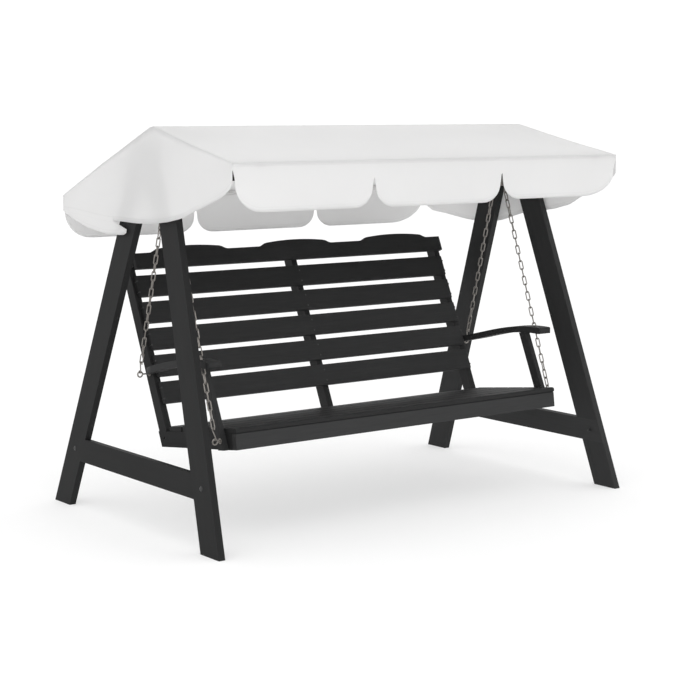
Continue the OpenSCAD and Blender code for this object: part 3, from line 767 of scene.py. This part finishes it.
for f in sheet.faces:
    upright = abs(f.normal.z) < 0.5
    sideways = abs(f.normal.x) > 0.5
    for loop in f.loops:
        p = loop.vert.co
        across = p.y if sideways else p.x
        loop[uv_layer].uv = (across, p.z if upright else p.y)
cloth_area = sum(f.calc_area() for f in sheet.faces)
sheet.to_mesh(cover_mesh)
sheet.free()
cover_mesh.shade_smooth()
cover = bpy.data.objects.new("canopy_cloth", cover_mesh)
bpy.context.scene.collection.objects.link(cover)
print("cloth", len(cover_mesh.polygons), "faces,", round(cloth_area, 2), "square metres")

# %% [markdown]
# ### The cloth itself
# It is off-white polyester in a plain weave. Two sets of fine ridges cross each other in the
# cover's own UV map, and the cloth is a little uneven in tone. A double row of stitches runs
# beside the seams of the roof, and one row along each hem. Daylight comes through thin cloth, so
# a Translucent shader takes a share of it, found by trying, and the inside of the valances
# stays bright.

# %% Weave and stitches
thread_pitch = 0.0016
stitch_pitch = 0.0045
light_through = 0.42


def woven_cloth():
    recipe = Recipe("woven_cloth")
    where = recipe.place(source="UV")
    apart = recipe.node("ShaderNodeSeparateXYZ", {}, {0: where})
    u, v = recipe.out(apart, 0), recipe.out(apart, 1)
    thread = 2 * math.pi / thread_pitch
    weave = recipe.sine(u * thread) * recipe.sine(v * thread) * 0.5 + 0.5
    solid = recipe.place()
    slub = recipe.noise(solid, 240.0, 3.0)
    cloud = recipe.noise(solid, 3.5, 3.0)
    seam, hem = recipe.attribute("seam"), recipe.attribute("hem")

    def row_at(distance, place_m):
        return 1 - recipe.ramp(recipe.absolute(distance - place_m), 0.0006, 0.0016)

    dash = recipe.sine((u + v) * (2 * math.pi / stitch_pitch))
    dashes = recipe.ramp(dash * 0.5 + 0.5, 0.25, 0.45)
    lines = (row_at(seam, 0.006) + row_at(seam, 0.012) + row_at(hem, 0.016)) * dashes
    fold = recipe.ramp(hem, 0.017, 0.019)
    tone = recipe.blend(cloud, grey(0.885, 0.002), grey(0.915, 0.002))
    sewn = recipe.blend(lines * 0.22, tone, grey(0.62, 0.002))
    height = weave * 0.25 + slub * 0.2 - lines * 0.9 - fold * 0.8
    return recipe.thin_cloth(
        light_through,
        sewn,
        Roughness=0.82 + 0.1 * slub,
        Specular_IOR_Level=0.2,
        Normal=recipe.bump(height, 0.35, 0.0007),
    )


cover.data.materials.append(woven_cloth())
cloth_thickness = 0.0014
thick = cover.modifiers.new("cloth", "SOLIDIFY")
thick.thickness = cloth_thickness
thick.offset = -1.0
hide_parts("canopy_cover")
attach(cover, "canopy")
gable_rise = 0.15
slope_and_hems = 0.06
cut_width = 2 * half_eaves + 2 * (valance + gable_rise)
cut_length = depth + 2 * valance + slope_and_hems
print("cut to", round(cut_width, 3), "by", round(cut_length, 3))

# %% [markdown]
# ## Floor, light and camera
# A studio sweep: a pale floor, a white surround for soft light from everywhere, and one large
# soft box in front. The floor also glows a little by itself, so that it melts into the surround
# and its shadows stay pale.

# %% Floor
floor_half = 30
floor_glow = 0.42
ground = bmesh.new()
bmesh.ops.create_grid(ground, x_segments=1, y_segments=1, size=floor_half)
floor_mesh = bpy.data.meshes.new("studio_floor")
ground.to_mesh(floor_mesh)
ground.free()
floor = bpy.data.objects.new("studio_floor", floor_mesh)
bpy.context.scene.collection.objects.link(floor)
floor_paint = Recipe("studio_floor")
mottle = floor_paint.noise(floor_paint.place(), 1.2, 2.0)
floor_tone = floor_paint.blend(mottle, grey(0.59), grey(0.61))
floor_mesh.materials.append(
    floor_paint.surface(
        Base_Color=floor_tone,
        Roughness=0.9,
        Specular_IOR_Level=0.0,
        Emission_Color=grey(1.0),
        Emission_Strength=floor_glow,
    )
)
print("floor", floor.name)

# %% Light
surround_strength = 1.08
world = bpy.data.worlds.new("studio")
bpy.context.scene.world = world
world.use_nodes = True
background = world.node_tree.nodes["Background"]
background.inputs["Color"].default_value = (1, 1, 1, 1)
background.inputs["Strength"].default_value = surround_strength
lamp_place, lamp_target = Vector((-2.5, -6.5, 3.2)), Vector((0, 0, 0.7))
lamp = bpy.data.lights.new("front_box", "AREA")
lamp.shape = "RECTANGLE"
lamp.size, lamp.size_y = 5, 3
lamp.energy = 70
holder = bpy.data.objects.new("front_box", lamp)
holder.location = lamp_place
holder.rotation_euler = (lamp_target - lamp_place).to_track_quat("-Z", "Y").to_euler()
bpy.context.scene.collection.objects.link(holder)
bpy.context.scene.view_settings.view_transform = "Standard"
print("light", lamp.energy, "watts")

# %% [markdown]
# ### Camera
# It stands in front on the left at eye height, and a long lens keeps the boards nearly parallel.

# %% Camera
camera_data = bpy.data.cameras.new("camera")
camera_data.sensor_width = 36
camera_data.lens = 92.99
camera = bpy.data.objects.new("camera", camera_data)
camera.location = (-4.4043, -5.8608, 1.6407)
camera.rotation_euler = (math.radians(90 - 7.4485), 0, math.radians(-36.7507))
bpy.context.scene.collection.objects.link(camera)
bpy.context.scene.camera = camera
print("camera", tuple(round(v, 2) for v in camera.location))
